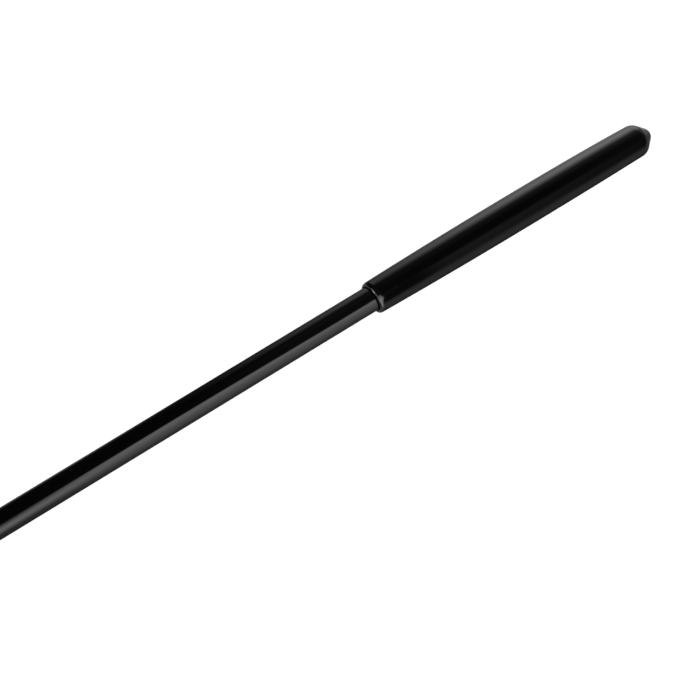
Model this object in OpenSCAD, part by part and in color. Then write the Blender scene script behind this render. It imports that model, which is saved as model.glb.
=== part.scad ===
// Magic wand: a lacquered tube with a dip-moulded vinyl grip pushed over one end.
// It lies along X with its grip end at +X, and its middle is at the origin.

/* [Wand] */
// Length from the tip's dome to the grip's closed end
overall_len = 380; // [300:1:450]

/* [Shaft] */
// Outside diameter of the tube
shaft_d = 9.5; // [8:0.1:10.5]
// Wall thickness of the tube
shaft_wall = 1; // [0.8:0.1:1.6]
// Rounding on the cut edges of the tube
tube_edge = 0.2; // [0.1:0.05:0.3]

/* [Grip] */
// Length of the sleeve from its mouth to its closed end
grip_len = 130.9; // [100:0.1:150]
// Depth of the bore that the shaft is pushed into, to its flat bottom
grip_bore_depth = 127; // [95:0.1:127]
// Wall left between the outer cone and the cone at the bore's bottom
cone_wall = 1.7; // [1.5:0.1:2]
// Rounding at the front of the lip
lip_r = 0.7; // [0.5:0.05:0.75]
// Length of the gentler curve behind that rounding
lip_taper = 1.7; // [1:0.1:2]
// Slope where the rounding and the gentler curve meet
lip_taper_angle = 20; // [10:1:20]
// Chamfer on the inside of the lip
lip_chamfer = 0.15; // [0.1:0.05:0.2]
// Outside diameter just behind the lip
grip_mouth_d = 12.3; // [12.2:0.1:13]
// Outside diameter at the fullest place
grip_belly_d = 13.9; // [13:0.1:16]
// Outside diameter where the shoulder starts
grip_end_d = 12.9; // [12.3:0.1:13]
// Distance from the mouth to the fullest place
grip_belly_at = 68; // [50:1:80]
// Half-angle of the blunt cone on the closed end
cone_angle = 41; // [38:1:48]
// Radius that blends the barrel into the cone
shoulder_r = 4.8; // [3:0.1:6]
// Radius of the cone's rounded nose
nose_r = 3.3; // [2:0.1:4]

/* [Tape] */
// Thickness of the double-sided tape between tube and grip
tape_t = 0.25; // [0.15:0.05:0.4]
// Distance from the mouth to where the tape starts
tape_setback = 6; // [3:0.5:15]
// Bare length between the tape and the tube's end
tape_end_gap = 4; // [2:0.5:10]

/* [Plugs] */
// Length of the tip plug's straight head, between its dome and the tube
tip_head_len = 6; // [5.5:0.5:12]
// Chamfer on the tip plug's head where it meets the tube
tip_chamfer = 0.4; // [0.3:0.1:0.6]
// Length of each plug's shank inside the tube
shank_len = 12; // [8:0.5:20]
// Number of ribs on a shank
rib_count = 3; // [2:1:4]
// Width of each rib
rib_w = 1.6; // [1:0.1:1.8]
// Depth of the grooves between the ribs
groove_depth = 0.35; // [0.2:0.05:0.5]
// Thickness of the handle plug's flange
flange_t = 1.5; // [1:0.1:3]
// Clearance between the handle plug's nose and the bottom of the grip's bore
nose_gap = 0.3; // [0.2:0.1:0.6]
// Diameter of the blind hollow in each plug
plug_hollow_d = 3.6; // [3:0.1:4.4]

/* [Hidden] */
// Steps along the barrel, and along each rounded stretch of an outline
barrel_steps = 24;
arc_steps = 10;
$fn = 96;

shaft_r = shaft_d / 2;
tube_bore_r = shaft_r - shaft_wall;
grip_bore_r = shaft_r + tape_t;
mouth_r = grip_mouth_d / 2;
belly_r = grip_belly_d / 2;
end_r = grip_end_d / 2;

// The closed end, measured from the mouth: the nose's circle touches the cone,
// and the shoulder's circle touches the cone and the barrel
nose_at = grip_len - nose_r;
cone_touch = [nose_at + nose_r * sin(cone_angle), nose_r * cos(cone_angle)];
corner_at = cone_touch[0] - (end_r - cone_touch[1]) / tan(cone_angle);
shoulder_at = corner_at - shoulder_r * tan(cone_angle / 2);

// The bore's bottom follows the outer cone, one wall inside it, down to a flat
function bore_cone_radius(s) =
    cone_touch[1] - (s - cone_touch[0]) * tan(cone_angle) - cone_wall / cos(cone_angle);
bore_cone_at = grip_bore_depth - (grip_bore_r - bore_cone_radius(grip_bore_depth)) / tan(cone_angle);

// Places along the wand, all measured from its tip
mouth_at = overall_len - grip_len;
tube_start_at = shaft_r + tip_head_len;
tube_end_at = mouth_at + bore_cone_at - flange_t;
tape_start_at = mouth_at + tape_setback;
tape_len = tube_end_at - tape_end_gap - tape_start_at;

// Stands a body of revolution, drawn along Z from the tip, along the wand
module along_wand(at = 0) {
    translate([at - overall_len / 2, 0, 0])
        rotate([0, 90, 0])
            children();
}

// Points [across, along] on a circle, for turning about the wand's axis
function arc_points(centre_at, centre_off, r, from, to) = [
    for (i = [0 : arc_steps])
        let (a = from + (to - from) * i / arc_steps)
            [centre_off + r * cos(a), centre_at + r * sin(a)]
];

// Radius of the grip's barrel at a distance from its mouth
function barrel_radius(s) =
    s < grip_belly_at
        ? belly_r - (belly_r - mouth_r) * pow(1 - s / grip_belly_at, 2)
        : belly_r - (belly_r - end_r) * pow((s - grip_belly_at) / (shoulder_at - grip_belly_at), 2.5);

module grip_profile() {
    taper_r = lip_taper / sin(lip_taper_angle);
    lip_len = lip_r * (1 - sin(lip_taper_angle)) + lip_taper;
    taper_off = barrel_radius(lip_len) - taper_r;
    lip_off = taper_off + (taper_r - lip_r) * cos(lip_taper_angle);
    polygon(concat(
        [[0, 0]],
        arc_points(lip_r, lip_off, lip_r, -90, -lip_taper_angle),
        arc_points(lip_len, taper_off, taper_r, -lip_taper_angle, 0),
        [for (i = [1 : barrel_steps])
            let (s = lip_len + (shoulder_at - lip_len) * i / barrel_steps)
                [barrel_radius(s), s]],
        arc_points(shoulder_at, end_r - shoulder_r, shoulder_r, 0, cone_angle),
        arc_points(nose_at, 0, nose_r, cone_angle, 90)
    ));
}

module grip_sleeve() {
    color("#141414")
        along_wand(mouth_at)
            difference() {
                rotate_extrude() grip_profile();
                translate([0, 0, -1]) cylinder(r = grip_bore_r, h = bore_cone_at + 1);
                translate([0, 0, bore_cone_at])
                    cylinder(
                        r1 = grip_bore_r,
                        r2 = bore_cone_radius(grip_bore_depth),
                        h = grip_bore_depth - bore_cone_at
                    );
                cylinder(r1 = grip_bore_r + lip_chamfer, r2 = grip_bore_r, h = lip_chamfer);
            }
}

module grip_tape() {
    color("#d8cfae")
        along_wand(tape_start_at)
            difference() {
                cylinder(r = grip_bore_r, h = tape_len);
                translate([0, 0, -1]) cylinder(r = shaft_r, h = tape_len + 2);
            }
}

module shaft_tube() {
    tube_len = tube_end_at - tube_start_at;
    color("#101012")
        along_wand(tube_start_at)
            difference() {
                union() {
                    cylinder(r1 = shaft_r - tube_edge, r2 = shaft_r, h = tube_edge);
                    translate([0, 0, tube_edge])
                        cylinder(r = shaft_r, h = tube_len - 2 * tube_edge);
                    translate([0, 0, tube_len - tube_edge])
                        cylinder(r1 = shaft_r, r2 = shaft_r - tube_edge, h = tube_edge);
                }
                translate([0, 0, -1]) cylinder(r = tube_bore_r, h = tube_len + 2);
            }
}

// A ribbed shank that starts at z = 0 and goes into the tube along +Z
module ribbed_shank() {
    pitch = (shank_len - rib_w) / rib_count;
    difference() {
        union() {
            cylinder(r = tube_bore_r - groove_depth, h = shank_len);
            for (i = [1 : rib_count])
                translate([0, 0, i * pitch]) cylinder(r = tube_bore_r, h = rib_w / 2);
            for (i = [1 : rib_count])
                translate([0, 0, i * pitch + rib_w / 2])
                    cylinder(r1 = tube_bore_r, r2 = tube_bore_r - groove_depth, h = rib_w / 2);
        }
        translate([0, 0, 1]) cylinder(d = plug_hollow_d, h = shank_len);
    }
}

// The tip's head is flush with the tube and ends in a half ball
module tip_plug() {
    color("#121214")
        along_wand(tube_start_at) {
            translate([0, 0, -tip_head_len]) {
                sphere(r = shaft_r);
                cylinder(r = shaft_r, h = tip_head_len - tip_chamfer);
            }
            translate([0, 0, -tip_chamfer])
                cylinder(r1 = shaft_r, r2 = shaft_r - tip_chamfer, h = tip_chamfer);
            ribbed_shank();
        }
}

// The flange covers the tube's cut end, so that the end can't wear through the grip,
// and the nose fills the bottom of the grip's bore
module handle_plug() {
    nose_len = grip_bore_depth - bore_cone_at - nose_gap;
    color("#e8e6df")
        along_wand(tube_end_at) {
            cylinder(r = shaft_r, h = flange_t);
            translate([0, 0, flange_t])
                cylinder(r1 = shaft_r, r2 = shaft_r - nose_len * tan(cone_angle), h = nose_len);
            mirror([0, 0, 1]) ribbed_shank();
        }
}

shaft_tube();
tip_plug();
handle_plug();
grip_tape();
grip_sleeve();
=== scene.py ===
"""A glossy black magic wand with a dip-moulded vinyl grip, lying on a white studio floor."""
import math

import bmesh
import bpy
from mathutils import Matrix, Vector


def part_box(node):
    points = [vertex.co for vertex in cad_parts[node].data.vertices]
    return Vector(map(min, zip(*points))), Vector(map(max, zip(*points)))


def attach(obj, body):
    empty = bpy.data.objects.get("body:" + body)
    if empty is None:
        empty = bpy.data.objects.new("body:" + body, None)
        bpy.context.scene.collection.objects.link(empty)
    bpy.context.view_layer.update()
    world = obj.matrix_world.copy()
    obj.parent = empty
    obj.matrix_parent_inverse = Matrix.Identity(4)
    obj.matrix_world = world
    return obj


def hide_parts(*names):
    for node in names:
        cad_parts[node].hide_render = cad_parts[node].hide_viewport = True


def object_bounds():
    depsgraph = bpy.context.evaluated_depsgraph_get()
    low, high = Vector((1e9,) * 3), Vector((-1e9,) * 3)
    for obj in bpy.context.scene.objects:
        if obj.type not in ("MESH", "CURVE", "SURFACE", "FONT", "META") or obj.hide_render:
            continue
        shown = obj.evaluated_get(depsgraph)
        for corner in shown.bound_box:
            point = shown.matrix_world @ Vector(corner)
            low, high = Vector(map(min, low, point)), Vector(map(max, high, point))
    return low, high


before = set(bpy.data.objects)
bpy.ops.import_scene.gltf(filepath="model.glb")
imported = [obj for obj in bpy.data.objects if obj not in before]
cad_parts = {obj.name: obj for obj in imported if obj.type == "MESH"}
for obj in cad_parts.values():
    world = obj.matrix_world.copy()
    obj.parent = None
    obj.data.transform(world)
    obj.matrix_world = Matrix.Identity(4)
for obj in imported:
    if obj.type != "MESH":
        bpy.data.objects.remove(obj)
CAD_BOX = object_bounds()

MM = 0.001
TINY_R = 1e-7    # a ring smaller than this is one point on the axis

# ---------------------------------------------------------------- sizes from the CAD frame
SLEEVE_LOW, SLEEVE_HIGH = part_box("grip_sleeve")
TUBE_LOW, TUBE_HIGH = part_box("shaft_tube")
TAPE_LOW, TAPE_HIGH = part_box("grip_tape")

MOUTH_X = SLEEVE_LOW[0]
GRIP_LEN = SLEEVE_HIGH[0] - SLEEVE_LOW[0]
BELLY_R = (SLEEVE_HIGH[2] - SLEEVE_LOW[2]) / 2
SHAFT_R = (TUBE_HIGH[2] - TUBE_LOW[2]) / 2
BORE_R = (TAPE_HIGH[2] - TAPE_LOW[2]) / 2

# ---------------------------------------------------------------- the grip's outline
MOUTH_R = 6.15 * MM        # behind the lip
END_R = 6.43 * MM          # where the shoulder starts
BELLY_AT = 68 * MM         # from the mouth to the fullest place
LIP_R = 0.69 * MM          # rounding at the front of the lip
LIP_TAPER = 1.7 * MM       # length of the gentler curve behind it
SHORT_TAPER = 0.95 * MM    # and its length where the rim is fuller
LIP_TAPER_ANGLE = math.radians(20)
LIP_INNER_R = 0.2 * MM     # rounding on the inside of the lip
CONE_ANGLE = math.radians(41)
SHOULDER_R = 4.8 * MM
NOSE_R = 3.3 * MM
BORE_DEPTH = 127 * MM
CONE_WALL = 1.7 * MM       # between the outer cone and the cone at the bore's bottom

GRIP_SEGMENTS = 160        # round the wand
BARREL_RINGS = 160
BORE_RINGS = 40

# ---------------------------------------------------------------- what is uneven on this grip
# Every turn is round the wand from straight up, towards -Y. A stretch round the wand has four
# turns in degrees: it fades in between the first two and out between the last two.
FULLER_UPPER = (-46, -30, -10, 4)   # the rim is fuller here
FULLER_LOWER = (44, 60, 130, 160)   # and here
UPPER_SHARE = 0.6                   # how full the upper one is beside the lower one

SKEW = 0.24 * MM                    # the mouth is cut askew by this each way
SKEW_TOWARDS = math.radians(150)    # and furthest back on this side
SET_BACK = 0.38 * SKEW              # and all of it sits back by this
SKEW_LEN = 15 * MM                  # both fade away over this length
NICK = 0.22 * MM                    # the mouth sits further back still
NICK_TURNS = (22, 32, 38, 56)       # over this short stretch
NICK_LEN = 8 * MM

# The dipped wall is thicker on one side, and more so towards the closed end
LEAN_TOWARDS = math.radians(119)
LEAN_AT_MOUTH = 0.11 * MM
LEAN_ALONG = 0.53 * MM              # added evenly along the grip
LEAN_AT_END = 0.28 * MM             # added mostly in the last quarter

# ---------------------------------------------------------------- camera
CAMERA_AZIMUTH = math.radians(-36.72)
CAMERA_ELEVATION = math.radians(55.17)
AIM = Vector((MOUTH_X + 0.4 * MM, 0, 0))             # a point on the axis at the grip's mouth
AIM_IN_VIEW = (9.93 * MM, 16.36 * MM, 823.4 * MM)    # right, up and away from the lens
SENSOR_MM = 36
LENS_MM = 120.35

# ---------------------------------------------------------------- strip light
# A curved sheet of light beside the wand, on the camera's side
STRIP_R = 30 * MM
STRIP_ENDS = (-420 * MM, 75 * MM)
STRIP_FADE = (68.2 * MM, 70 * MM)                      # along X, where its light ends
STRIP_TURNS = (math.radians(-50), math.radians(176))   # round the wand, as above
STRIP_STEPS_ALONG = 80
STRIP_STEPS_ROUND = 60

# A cone from just off the grip out to where the strip's light ends
SHADE_R = 7 * MM                                       # at its narrow end
SHADE_ENDS = (MOUTH_X + 3.3 * MM, 69.2 * MM)
SHADE_TURNS = (math.radians(31), math.radians(176))
SHADE_STEPS = 40


# ================================================================ helpers for meshes
def arc(centre_x, centre_r, radius, start, end, steps):
    """Points (x, r) on a circle; an angle of 0 points away from the axis, 90 degrees along +X."""
    points = []
    for i in range(steps + 1):
        a = start + (end - start) * i / steps
        points.append((centre_x + radius * math.sin(a), centre_r + radius * math.cos(a)))
    return points


def evenly(start, end, steps):
    """Values after start, up to and with end."""
    return [start + (end - start) * i / steps for i in range(1, steps + 1)]


def link_mesh(name, mesh):
    """Puts a finished bmesh in the scene as a new object."""
    data = bpy.data.meshes.new(name)
    mesh.to_mesh(data)
    mesh.free()
    thing = bpy.data.objects.new(name, data)
    bpy.context.scene.collection.objects.link(thing)
    return thing


def lathe(name, outline, segments, towards):
    """Turns an outline round the X axis. Each point is (x, r, how far its ring is off the axis)."""
    mesh = bmesh.new()
    rings = []
    for x, r, off in outline:
        dy, dz = -off * math.sin(towards), off * math.cos(towards)
        if r < TINY_R:
            rings.append([mesh.verts.new((x, dy, dz))])
            continue
        ring = []
        for k in range(segments):
            a = 2 * math.pi * k / segments
            ring.append(mesh.verts.new((x, dy - r * math.sin(a), dz + r * math.cos(a))))
        rings.append(ring)
    for low, high in zip(rings, rings[1:]):
        for k in range(segments):
            n = (k + 1) % segments
            corners = [low[k % len(low)], low[n % len(low)], high[n % len(high)], high[k % len(high)]]
            face = list(dict.fromkeys(corners))
            mesh.faces.new(face).smooth = True
    bmesh.ops.recalc_face_normals(mesh, faces=mesh.faces)
    return link_mesh(name, mesh)


# ================================================================ helpers for node materials
class Nodes:
    """Adds shader nodes to one material or world and wires them."""

    def __init__(self, owner):
        owner.use_nodes = True
        self.tree = owner.node_tree
        self.tree.nodes.clear()

    def add(self, kind, inputs=None, **settings):
        """Adds a node. Each input is another node's socket to wire in, or a value to set."""
        node = self.tree.nodes.new(kind)
        for key, value in settings.items():
            setattr(node, key, value)
        for key, value in (inputs or {}).items():
            if isinstance(value, bpy.types.NodeSocket):
                self.tree.links.new(value, node.inputs[key])
            else:
                node.inputs[key].default_value = value
        return node

    def math(self, operation, a, b=0.0):
        return self.add("ShaderNodeMath", {0: a, 1: b}, operation=operation).outputs[0]

    def ramp(self, value, start, end, low=0.0, high=1.0):
        """Goes smoothly from low at start to high at end, and holds outside them."""
        inputs = {"Value": value, "From Min": start, "From Max": end, "To Min": low, "To Max": high}
        node = self.add("ShaderNodeMapRange", inputs, interpolation_type="SMOOTHSTEP")
        return node.outputs["Result"]

    def band(self, value, in_start, in_end, out_start, out_end):
        """Goes smoothly from 0 to 1 and back to 0. The four places run up or down."""
        return self.times(self.ramp(value, in_start, in_end), self.ramp(value, out_start, out_end, 1, 0))

    def times(self, *values):
        out = values[0]
        for value in values[1:]:
            out = self.math("MULTIPLY", out, value)
        return out

    def plus(self, *values):
        out = values[0]
        for value in values[1:]:
            out = self.math("ADD", out, value)
        return out


def new_material(name):
    """An empty material and the helper that adds its nodes."""
    material = bpy.data.materials.new(name)
    return material, Nodes(material)


def place_on(n):
    """Where a point is on the object, and how far along X, in metres."""
    where = n.add("ShaderNodeTexCoord").outputs["Object"]
    return where, n.add("ShaderNodeSeparateXYZ", {"Vector": where}).outputs["X"]


def noise(n, where, size_mm, drawn_out=1.0, detail=2.0):
    """Noise with features of about this size, drawn out along the wand."""
    across = 1 / (size_mm * MM)
    scaled = n.add("ShaderNodeMapping", {"Vector": where, "Scale": (across / drawn_out, across, across)})
    inputs = {"Vector": scaled.outputs[0], "Scale": 1.0, "Detail": detail}
    return n.add("ShaderNodeTexNoise", inputs).outputs[0]


def bump(n, height, depth_mm, over=None):
    """Turns a height of 0 to 1 into bump of this depth, on top of another bump."""
    inputs = {"Strength": 1.0, "Distance": depth_mm * MM, "Height": height}
    if over:
        inputs["Normal"] = over
    return n.add("ShaderNodeBump", inputs).outputs["Normal"]


def fine_scratches(n, where, size_mm, drawn_out):
    """1 along thin, broken scratches that run mostly along the wand, and 0 between them."""
    lines = noise(n, where, size_mm, drawn_out, detail=1.0)
    return n.times(n.band(lines, 0.47, 0.5, 0.5, 0.53), n.ramp(noise(n, where, 14.0), 0.5, 0.65))


def blend_colours(n, share, colour_a, colour_b):
    """Goes from colour_a to colour_b. A Mix node's colour sockets are its inputs 6 and 7 and its output 2."""
    inputs = {"Factor": share, 6: (*colour_a, 1), 7: (*colour_b, 1)}
    return n.add("ShaderNodeMix", inputs, data_type="RGBA").outputs[2]


def finish(n, colour, roughness, normal, specular=0.5):
    """Ends a material of the object with its shader."""
    shader = n.add("ShaderNodeBsdfPrincipled", {
        "Base Color": colour, "Roughness": roughness, "IOR": 1.5, "Specular IOR Level": specular,
        "Normal": normal})
    n.add("ShaderNodeOutputMaterial", {"Surface": shader.outputs["BSDF"]})


def grip_vinyl():
    """Dipped black vinyl: soft waves from the dip, and a skin that handling has dulled in places."""
    material, n = new_material("grip_vinyl")
    where, x = place_on(n)
    waves = bump(n, noise(n, where, 9.0), 0.001)
    skin = bump(n, noise(n, where, 0.5), 0.00003, waves)
    colour = blend_colours(n, noise(n, where, 20.0), (0.0011, 0.0011, 0.0012), (0.0015, 0.0015, 0.0016))
    smears = n.ramp(noise(n, where, 16.0, 2.0, detail=4.0), 0.3, 0.7, 0.052, 0.068)
    nose = n.ramp(x, SLEEVE_HIGH[0] - 2.5 * MM, SLEEVE_HIGH[0])
    nose_rub = n.times(nose, noise(n, where, 0.7, detail=4.0), 0.12)
    scratches = n.times(fine_scratches(n, where, 1.1, 12.0), 0.05)
    finish(n, colour, n.plus(smears, nose_rub, scratches), skin)
    return material


def bore_vinyl():
    """The inside of the sleeve, which came off its former matt and with fine lines along it."""
    material, n = new_material("bore_vinyl")
    where, _ = place_on(n)
    lines = bump(n, noise(n, where, 0.25, 30.0), 0.004)
    mottle = noise(n, where, 3.0, detail=4.0)
    colour = blend_colours(n, mottle, (0.0011, 0.0011, 0.0012), (0.0017, 0.0017, 0.0018))
    finish(n, colour, n.ramp(noise(n, where, 1.5, detail=4.0), 0.3, 0.7, 0.5, 0.65), lines, 0.12)
    return material


def shaft_lacquer():
    """Gloss black lacquer on metal: orange peel, faint polishing streaks, fine scratches, a dull rub at
    the tip's end, and a fine step worn round it along the cut of the grip's mouth."""
    material, n = new_material("shaft_lacquer")
    where, x = place_on(n)
    peel = bump(n, noise(n, where, 12.0), 0.001)
    fine_peel = bump(n, noise(n, where, 1.4), 0.00006, peel)
    colour = blend_colours(n, noise(n, where, 30.0), (0.0006, 0.0006, 0.0007), (0.0008, 0.0008, 0.0009))
    streaks = n.ramp(noise(n, where, 0.4, 60.0), 0.35, 0.65, 0.046, 0.054)
    tip_end = n.ramp(x, TUBE_LOW[0] + 1.2 * MM, TUBE_LOW[0])
    end_rub = n.times(tip_end, noise(n, where, 0.5, detail=4.0), 0.3)
    scratches = n.times(fine_scratches(n, where, 0.8, 20.0), 0.06)
    tilt = SKEW / SHAFT_R
    square_to_cut = {0: where, 1: (1, tilt * math.sin(SKEW_TOWARDS), -tilt * math.cos(SKEW_TOWARDS))}
    along = n.add("ShaderNodeVectorMath", square_to_cut, operation="DOT_PRODUCT").outputs["Value"]
    worn = bump(n, n.ramp(along, MOUTH_X - 0.38 * MM, MOUTH_X + 0.3 * MM, 1, 0), 0.11, fine_peel)
    finish(n, colour, n.plus(streaks, end_rub, scratches), worn)
    return material


def tip_plastic():
    """Moulded gloss black plastic, with a faint parting line and small rub marks on the dome."""
    material, n = new_material("tip_plastic")
    where, x = place_on(n)
    across = n.math("ABSOLUTE", n.add("ShaderNodeSeparateXYZ", {"Vector": where}).outputs["Y"])
    parting = bump(n, n.ramp(across, 0.02 * MM, 0.08 * MM, 1, 0), 0.01)
    grain = bump(n, noise(n, where, 1.2), 0.001, parting)
    colour = blend_colours(n, noise(n, where, 4.0), (0.0013, 0.0013, 0.0013), (0.0017, 0.0017, 0.0017))
    satin = n.ramp(noise(n, where, 3.0, detail=4.0), 0.3, 0.7, 0.1, 0.14)
    dome = n.ramp(x, CAD_BOX[0][0] + 2 * MM, CAD_BOX[0][0])
    tip_rub = n.times(dome, noise(n, where, 0.4, detail=4.0), 0.25)
    finish(n, colour, n.plus(satin, tip_rub), grain)
    return material


def plug_nylon():
    """Off-white nylon with a mottled surface and fine rings from the mould."""
    material, n = new_material("plug_nylon")
    where, x = place_on(n)
    pitch = 0.35 * MM
    rings = n.math("SINE", n.math("MULTIPLY", x, 2 * math.pi / pitch))
    turned = bump(n, n.ramp(rings, -1, 1), 0.006)
    grain = bump(n, noise(n, where, 0.3), 0.01, turned)
    colour = blend_colours(n, noise(n, where, 2.5, detail=4.0), (0.66, 0.63, 0.55), (0.76, 0.74, 0.68))
    finish(n, colour, n.ramp(noise(n, where, 1.0, detail=4.0), 0.3, 0.7, 0.42, 0.58), grain)
    return material


def tape_cloth():
    """Tan cloth tape: fine cross wrinkles, loose fibres and uneven glue."""
    material, n = new_material("tape_cloth")
    where, _ = place_on(n)
    wrinkles = bump(n, noise(n, where, 0.9, 0.3), 0.04)
    fibres = bump(n, noise(n, where, 0.12, 6.0, detail=4.0), 0.015, wrinkles)
    colour = blend_colours(n, noise(n, where, 1.8, detail=4.0), (0.52, 0.43, 0.26), (0.66, 0.58, 0.4))
    finish(n, colour, n.ramp(noise(n, where, 3.0, detail=4.0), 0.3, 0.7, 0.6, 0.9), fibres)
    return material


# ================================================================ the object
def grip_radius(s):
    """Radius of the grip's barrel at a distance from its mouth."""
    if s < BELLY_AT:
        return BELLY_R - (BELLY_R - MOUTH_R) * (1 - s / BELLY_AT) ** 2
    return BELLY_R - (BELLY_R - END_R) * ((s - BELLY_AT) / (shoulder_at() - BELLY_AT)) ** 2.5


def nose_at():
    """Distance from the mouth to the middle of the nose's circle."""
    return GRIP_LEN - NOSE_R


def cone_touch():
    """Where the nose's circle meets the cone."""
    return nose_at() + NOSE_R * math.sin(CONE_ANGLE), NOSE_R * math.cos(CONE_ANGLE)


def shoulder_at():
    """Distance from the mouth to where the shoulder's curve starts."""
    touch_at, touch_r = cone_touch()
    corner_at = touch_at - (END_R - touch_r) / math.tan(CONE_ANGLE)
    return corner_at - SHOULDER_R * math.tan(CONE_ANGLE / 2)


def lean(s):
    """How far the middle of the grip's outside is off the wand's axis, at a distance from its mouth."""
    share = s / GRIP_LEN
    return LEAN_AT_MOUTH + LEAN_ALONG * share + LEAN_AT_END * share ** 6


def smooth(value, start, end):
    """Goes smoothly from 0 at start to 1 at end."""
    share = min(max((value - start) / (end - start), 0.0), 1.0)
    return share * share * (3 - 2 * share)


def stretch(degrees, in_start, in_end, out_start, out_end):
    """1 inside a stretch round the wand and 0 outside it, fading in and out."""
    return smooth(degrees, in_start, in_end) * (1 - smooth(degrees, out_start, out_end))


def taper_drop(s, length):
    """How far the gentler curve behind the lip falls below the barrel, for a curve of this length."""
    start = LIP_R * (1 - math.sin(LIP_TAPER_ANGLE))
    return max(0.0, start + length - s) ** 2 * math.sin(LIP_TAPER_ANGLE) / (2 * length)


def fuller_rim(s, turn):
    """How far the rim stands out on the two stretches where the curve behind the lip is shorter."""
    gain = smooth(s, 0, LIP_R / 2) * (taper_drop(s, LIP_TAPER) - taper_drop(s, SHORT_TAPER))
    degrees = math.degrees(turn)
    return gain * (UPPER_SHARE * stretch(degrees, *FULLER_UPPER) + stretch(degrees, *FULLER_LOWER))


def mouth_shift(s, turn):
    """How far the mouth's uneven cut moves a point along the sleeve, less and less away from the cut."""
    askew = SET_BACK + SKEW * math.cos(turn - SKEW_TOWARDS)
    nick = NICK * stretch(math.degrees(turn), *NICK_TURNS)
    return askew * max(0.0, 1 - s / SKEW_LEN) ** 2 + nick * max(0.0, 1 - s / NICK_LEN) ** 2


def bore_outline():
    """The inside of the sleeve, from the bottom of its bore to just inside the lip."""
    touch_at, touch_r = cone_touch()
    flat_r = touch_r - (BORE_DEPTH - touch_at) * math.tan(CONE_ANGLE) - CONE_WALL / math.cos(CONE_ANGLE)
    bore_cone_at = BORE_DEPTH - (BORE_R - flat_r) / math.tan(CONE_ANGLE)
    points = [(BORE_DEPTH, 0), (BORE_DEPTH, flat_r), (bore_cone_at, BORE_R)]
    return points + [(s, BORE_R) for s in evenly(bore_cone_at, 3 * MM, BORE_RINGS)]


def outside_outline():
    """The outside of the sleeve, from the inner edge of its lip to its nose."""
    touch_at, touch_r = cone_touch()
    quarter = math.pi / 2
    taper_r = LIP_TAPER / math.sin(LIP_TAPER_ANGLE)
    lip_at = LIP_R * (1 - math.sin(LIP_TAPER_ANGLE)) + LIP_TAPER
    off = grip_radius(lip_at) - taper_r
    lip_off = off + (taper_r - LIP_R) * math.cos(LIP_TAPER_ANGLE)
    points = arc(LIP_INNER_R, BORE_R + LIP_INNER_R, LIP_INNER_R, 2 * quarter, 3 * quarter, 6)
    points += arc(LIP_R, lip_off, LIP_R, -quarter, -LIP_TAPER_ANGLE, 16)
    points += arc(lip_at, off, taper_r, -LIP_TAPER_ANGLE, 0, 10)[1:]
    points += [(s, grip_radius(s)) for s in evenly(lip_at, shoulder_at(), BARREL_RINGS)]
    points += arc(shoulder_at(), END_R - SHOULDER_R, SHOULDER_R, 0, CONE_ANGLE, 14)[1:]
    points += [(touch_at, touch_r)]
    return points + arc(nose_at(), 0, NOSE_R, CONE_ANGLE, quarter, 14)[1:]


def make_grip():
    """The sleeve: its bore is round the wand's axis, and its outside leans off it."""
    outline = [(MOUTH_X + s, r, 0.0) for s, r in bore_outline()]
    outline += [(MOUTH_X + s, r, lean(s)) for s, r in outside_outline()]
    grip = lathe("vinyl_grip", outline, GRIP_SEGMENTS, LEAN_TOWARDS)
    for vertex in grip.data.vertices:
        x, y, z = vertex.co
        off_axis = math.hypot(y, z)
        turn = math.atan2(-y, z)
        swell = 1.0
        if off_axis > BORE_R + LIP_INNER_R:
            swell += fuller_rim(x - MOUTH_X, turn) / off_axis
        vertex.co = (x + mouth_shift(x - MOUTH_X, turn), y * swell, z * swell)
    grip.data.materials.append(grip_vinyl())
    grip.data.materials.append(bore_vinyl())
    bore_edge = BORE_R + LIP_INNER_R / 10
    bore_end = MOUTH_X + BORE_DEPTH + MM / 10
    for face in grip.data.polygons:
        x, y, z = face.center
        face.material_index = int(math.hypot(y, z) < bore_edge and x < bore_end)
    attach(grip, "root")
    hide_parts("grip_sleeve")


def dress_cad_nodes():
    """Gives the CAD pieces that are shown their materials."""
    finishes = {"shaft_tube": shaft_lacquer, "tip_plug": tip_plastic, "handle_plug": plug_nylon,
                "grip_tape": tape_cloth}
    for node, make_material in finishes.items():
        material = make_material()
        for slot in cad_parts[node].material_slots:
            slot.material = material


# ================================================================ stage, light and camera
def only_camera_sees(thing):
    """Keeps a piece of the stage out of reflections, light and shadow."""
    thing.visible_diffuse = False
    thing.visible_glossy = False
    thing.visible_transmission = False
    thing.visible_volume_scatter = False
    thing.visible_shadow = False


def glowing_white(name, strength):
    """A white that glows evenly."""
    material, n = new_material(name)
    glow = n.add("ShaderNodeEmission", {"Color": (1, 1, 1, 1), "Strength": strength})
    n.add("ShaderNodeOutputMaterial", {"Surface": glow.outputs["Emission"]})
    return material


def make_stage():
    """A white floor under the wand and a white dome over it, lit evenly and free of shadows."""
    reach = 4.0
    floor = bmesh.new()
    bmesh.ops.create_grid(floor, x_segments=4, y_segments=4, size=reach)
    bmesh.ops.translate(floor, verts=floor.verts, vec=(0, 0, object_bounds()[0][2]))
    dome = bmesh.new()
    bmesh.ops.create_uvsphere(dome, u_segments=48, v_segments=24, radius=reach)
    white = glowing_white("studio_white", 1.05)   # a little over 1, so it is pure white in the picture
    for name, mesh in (("studio_floor", floor), ("studio_dome", dome)):
        thing = link_mesh(name, mesh)
        thing.data.materials.append(white)
        only_camera_sees(thing)


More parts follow.
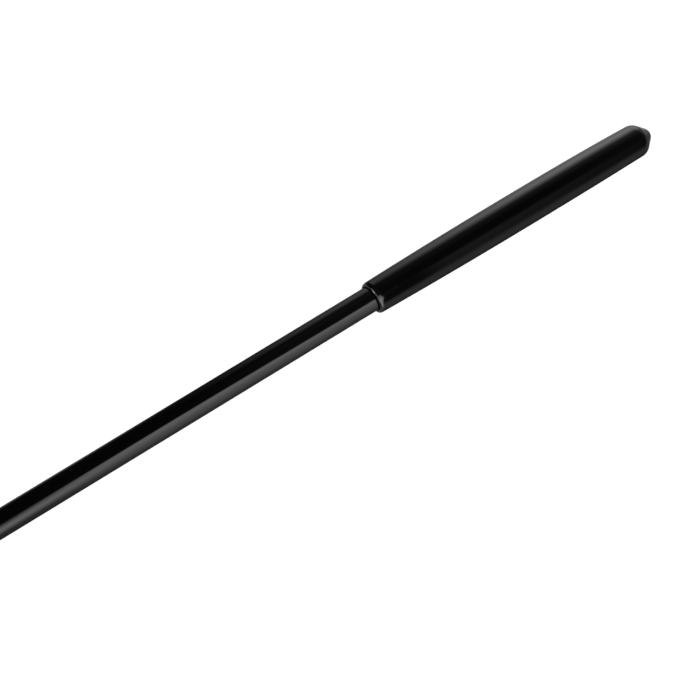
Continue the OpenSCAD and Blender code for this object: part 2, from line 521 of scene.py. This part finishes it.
def round_the_wand(n, vector):
    """Angle round the wand from straight up, towards -Y, in degrees, and the part along X."""
    split = n.add("ShaderNodeSeparateXYZ", {"Vector": vector})
    turn = n.math("ARCTAN2", n.math("MULTIPLY", split.outputs["Y"], -1.0), split.outputs["Z"])
    return n.math("DEGREES", turn), split.outputs["X"]


def strip_light():
    """Sharp above and fading away below, softer towards the tip, and it ends just past the grip's mouth."""
    material, n = new_material("strip_light")
    turn, x = round_the_wand(n, n.add("ShaderNodeTexCoord").outputs["Object"])
    edge = n.ramp(n.math("SUBTRACT", turn, n.ramp(x, -25 * MM, 65 * MM, 0, 12)), 34, 47)
    crisp = n.times(edge, n.ramp(turn, 39, 140, 2.6, 0.05))
    soft = n.times(n.band(turn, 31, 74, 72, 118), 2.7)
    tip_side = n.ramp(x, -30 * MM, -100 * MM)
    grip_side = n.math("SUBTRACT", 1.0, tip_side)
    haze = n.times(
        n.band(turn, -30, -8, 58, 76), n.ramp(turn, -10, 50, 1, 0.8),
        n.ramp(x, -25 * MM, 30 * MM, 0, 0.036))
    whole = n.plus(n.times(crisp, grip_side), n.times(soft, tip_side), haze)
    strength = n.times(whole, n.ramp(x, *STRIP_FADE, 1, 0))
    light = n.add("ShaderNodeEmission", {"Color": (1, 1, 1, 1), "Strength": strength})
    clear = n.add("ShaderNodeBsdfTransparent")
    both = n.add("ShaderNodeAddShader", {0: light.outputs[0], 1: clear.outputs[0]})
    n.add("ShaderNodeOutputMaterial", {"Surface": both.outputs[0]})
    return material


def make_strip():
    """The sheet of light that draws the long highlight on the shaft."""
    mesh = bmesh.new()
    turns = [STRIP_TURNS[0]] + evenly(*STRIP_TURNS, STRIP_STEPS_ROUND)
    rows = []
    for x in evenly(*STRIP_ENDS, STRIP_STEPS_ALONG):
        rows.append([mesh.verts.new((x, -STRIP_R * math.sin(t), STRIP_R * math.cos(t))) for t in turns])
    for near, far in zip(rows, rows[1:]):
        for k in range(STRIP_STEPS_ROUND):
            mesh.faces.new((near[k], near[k + 1], far[k + 1], far[k]))
    strip = link_mesh("strip_light", mesh)
    strip.data.materials.append(strip_light())
    strip.visible_camera = False
    strip.visible_shadow = False


def side_light(n, turn):
    """The broad soft light beside the wand."""
    return n.times(n.ramp(turn, 34, 48, 0, 2.2), n.ramp(turn, 90, 145, 1, 0.1))


def make_tip_side_shade():
    """A cone that hides the strip light's end from the grip: it shows the side light on the face towards
    the grip, and is clear from behind."""
    material, n = new_material("tip_side_shade")
    turn, _ = round_the_wand(n, n.add("ShaderNodeTexCoord").outputs["Object"])
    light = n.add("ShaderNodeEmission", {"Color": (1, 1, 1, 1), "Strength": side_light(n, turn)})
    clear = n.add("ShaderNodeBsdfTransparent")
    back = n.add("ShaderNodeNewGeometry").outputs["Backfacing"]
    either = n.add("ShaderNodeMixShader", {0: back, 1: light.outputs[0], 2: clear.outputs[0]})
    n.add("ShaderNodeOutputMaterial", {"Surface": either.outputs[0]})
    mesh = bmesh.new()
    turns = evenly(*SHADE_TURNS, SHADE_STEPS + 1)
    rows = []
    for x, r in zip(SHADE_ENDS, (SHADE_R, STRIP_R)):
        rows.append([mesh.verts.new((x, -r * math.sin(t), r * math.cos(t))) for t in turns])
    narrow, wide = rows
    for k in range(SHADE_STEPS):
        mesh.faces.new((narrow[k], wide[k], wide[k + 1], narrow[k + 1]))
    shade = link_mesh("tip_side_shade", mesh)
    shade.data.materials.append(material)
    shade.visible_camera = False
    shade.visible_diffuse = False
    shade.visible_shadow = False


def make_room_light():
    """Soft light from the room, by direction: the turn round the wand and the part along X, which is
    -1 towards the tip and 1 towards the grip's closed end."""
    world = bpy.data.worlds.new("room_light")
    n = Nodes(world)
    turn, x = round_the_wand(n, n.add("ShaderNodeTexCoord").outputs["Generated"])
    # a pale wall behind, brighter towards the grip's closed end, its glow over the top, and a rim low down
    wall = n.times(
        n.ramp(n.plus(turn, n.ramp(x, 0.33, 0.45, 3, 0)), -24, -66),
        n.ramp(turn, -64, -108, 1, 0.3), n.ramp(turn, -108, -150, 1, 0),
        n.ramp(x, 0.26, 0.50, 0.01, 1.95), n.ramp(x, 0.7, 0.94, 1, 0.2))
    wall_glow = n.times(n.band(turn, 10, -30, -30, -60), n.ramp(x, 0.33, 0.5, 0, 0.15))
    rim = n.times(n.band(turn, -84, -112, -112, -150), n.ramp(x, 0.3, 0.2, 0, 0.3))
    # the floor's glow from below
    floor_glow = n.times(
        n.ramp(turn, 90, 118), n.ramp(turn, 122, 176, 0.33, 0.05), n.ramp(x, 0.2, 0.27, 0.85, 1),
        n.ramp(x, 0.33, 0.5, 1, 0.88))
    # faint lights on the grip: a broad one, a thin line that starts at the lip, and one from above
    faint = n.times(
        n.band(turn, 34, 58, 95, 120), n.ramp(turn, 60, 84, 1, 0.8),
        n.ramp(x, 0.345, 0.375, 0, 1), n.ramp(x, 0.38, 0.56, 0.17, 0))
    line = n.times(
        n.band(turn, 40, 48, 51, 61), n.band(x, 0.32, 0.326, 0.36, 0.375),
        n.plus(n.ramp(x, 0.326, 0.337, 0.1, 0), n.ramp(x, 0.343, 0.355, 0, 0.045)))
    over = n.times(
        n.band(turn, -40, -22, -16, 10), n.ramp(x, 0.30, 0.34, 0, 0.035), n.ramp(x, 0.36, 0.44, 1, 0.2))
    # lamps on the tip's side: above, which is dimmer over one part, beside, and behind
    aside = n.band(x, -0.42, -0.48, -0.74, -0.8)
    top_lamp = n.times(
        n.band(turn, -38, -22, -8, 27), n.band(x, -0.32, -0.46, -0.93, -1.0), n.ramp(aside, 0, 1, 10, 4.5))
    side_lamp = n.times(side_light(n, turn), n.band(x, 0.17, 0.05, -0.72, -0.78))
    behind = n.times(n.ramp(turn, -60, -90), n.ramp(x, 0.02, -0.1, 0, 0.3))
    # light beyond the grip's closed end, on its cone and nose
    beyond = n.times(
        n.ramp(x, 0.55, 0.72), n.ramp(x, 0.78, 0.93, 1, 0.62),
        n.plus(n.ramp(turn, -110, -126, 0, 0.4), n.ramp(turn, -142, -168, 0, -0.25), 0.02))
    end = n.plus(n.ramp(x, 0.44, 0.54, 0, 0.028), n.ramp(x, 0.85, 0.99, 0, 0.09))
    everywhere = 0.012
    glow = n.plus(
        wall, wall_glow, rim, floor_glow, faint, line, over, top_lamp, side_lamp, behind, beyond, end,
        everywhere)
    background = n.add("ShaderNodeBackground", {"Color": (1, 1, 1, 1), "Strength": glow})
    n.add("ShaderNodeOutputWorld", {"Surface": background.outputs[0]})
    bpy.context.scene.world = world


def make_camera():
    """Puts the camera so that AIM sits at AIM_IN_VIEW."""
    sin_a, cos_a = math.sin(CAMERA_AZIMUTH), math.cos(CAMERA_AZIMUTH)
    sin_e, cos_e = math.sin(CAMERA_ELEVATION), math.cos(CAMERA_ELEVATION)
    back = Vector((sin_a * cos_e, -cos_a * cos_e, sin_e))
    right = Vector((cos_a, sin_a, 0))
    up = back.cross(right)
    across, above, away = AIM_IN_VIEW
    data = bpy.data.cameras.new("camera")
    data.lens = LENS_MM
    data.sensor_width = SENSOR_MM
    data.clip_start = 10 * MM
    camera = bpy.data.objects.new("camera", data)
    camera.location = AIM - right * across - up * above + back * away
    camera.rotation_euler = (math.pi / 2 - CAMERA_ELEVATION, 0, CAMERA_AZIMUTH)
    bpy.context.scene.collection.objects.link(camera)
    bpy.context.scene.camera = camera


make_grip()
dress_cad_nodes()
make_camera()
make_stage()
make_strip()
make_tip_side_shade()
make_room_light()
bpy.context.scene.view_settings.view_transform = "Standard"
